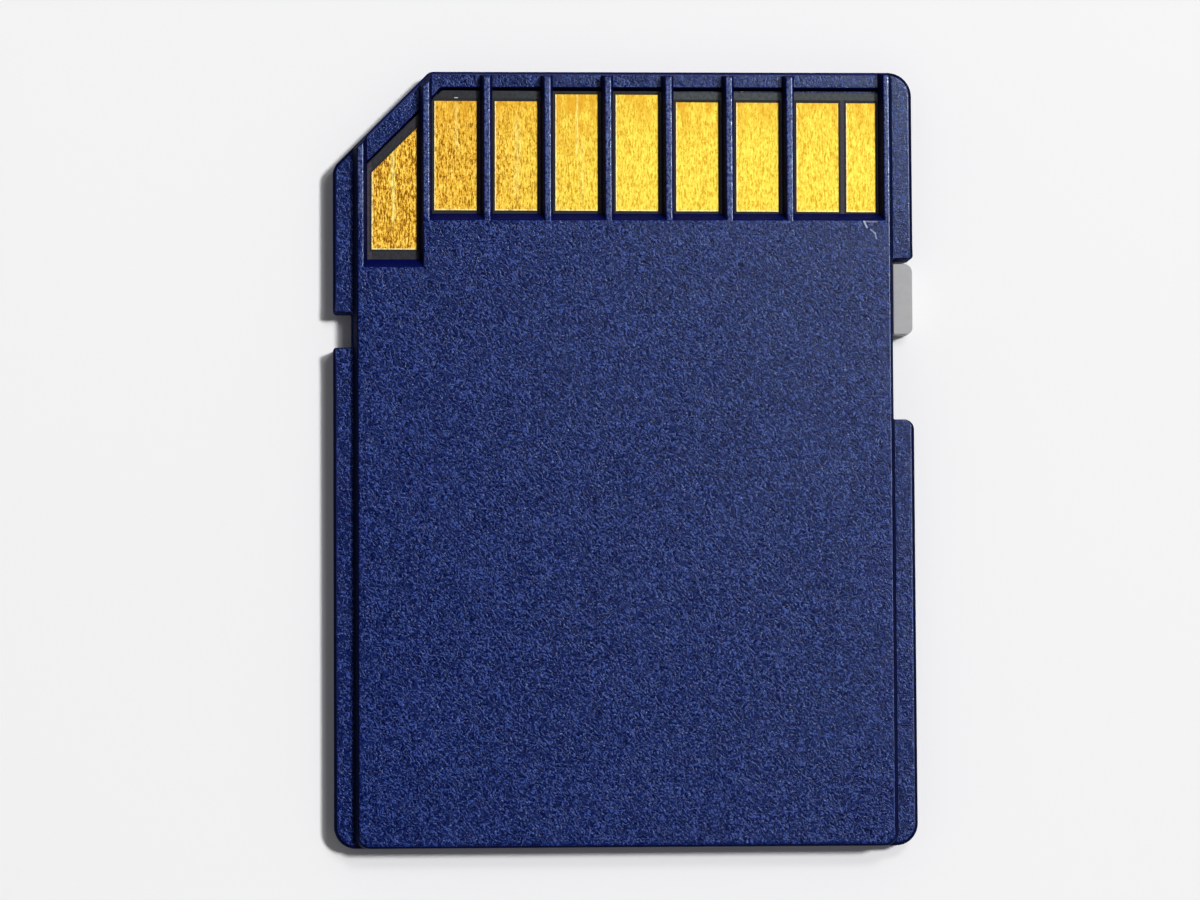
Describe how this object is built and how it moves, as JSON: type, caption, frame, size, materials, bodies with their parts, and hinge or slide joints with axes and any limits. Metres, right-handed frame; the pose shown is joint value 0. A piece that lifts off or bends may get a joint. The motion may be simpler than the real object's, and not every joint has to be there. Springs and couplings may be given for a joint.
{
  "type": "memory card",
  "caption": "Flat full-size memory card with a keyed corner, ribbed contact windows, gold contacts, a side lock notch and a sliding write-protect tab.",
  "frame": {"origin": "middle of the footprint on the label side, which is the face the card lies on", "axes": "+Z out of the contact side, through the thickness; +Y towards the contact end; +X towards the rail with the write-protect slider"},
  "size_m": [0.024, 0.032, 0.0021],
  "materials": {
    "navy_plastic": "fine moulded grain",
    "slider_plastic": "smooth satin",
    "contact_gold": "worn plating with fine lengthwise brushing",
    "board_laminate": "satin solder mask",
    "label_film": "satin film",
    "chip_moulding": "matt moulded",
    "ceramic_tan": "fired ceramic",
    "ceramic_dark": "glazed ceramic"
  },
  "bodies": {
    "card": {"contact_side_cover": "navy_plastic", "label_side_cover": "navy_plastic", "label": "label_film", "circuit_board": "board_laminate", "contact_1": "contact_gold", "contact_2": "contact_gold", "contact_3": "contact_gold", "contact_4": "contact_gold", "contact_5": "contact_gold", "contact_6": "contact_gold", "contact_7": "contact_gold", "contact_8": "contact_gold", "contact_9": "contact_gold", "flash_chip": "chip_moulding", "controller_chip": "chip_moulding", "bulk_capacitor": "ceramic_tan", "capacitors": "ceramic_tan", "resistors": "ceramic_dark", "fuse": "ceramic_dark"},
    "slider": {"write_protect_slider": "slider_plastic"}
  },
  "joints": [
    {"name": "write_protect_slide", "type": "slide", "parent": "card", "child": "slider", "axis": [0, -1, 0], "range_m": [0, 0.0034]}
  ]
}
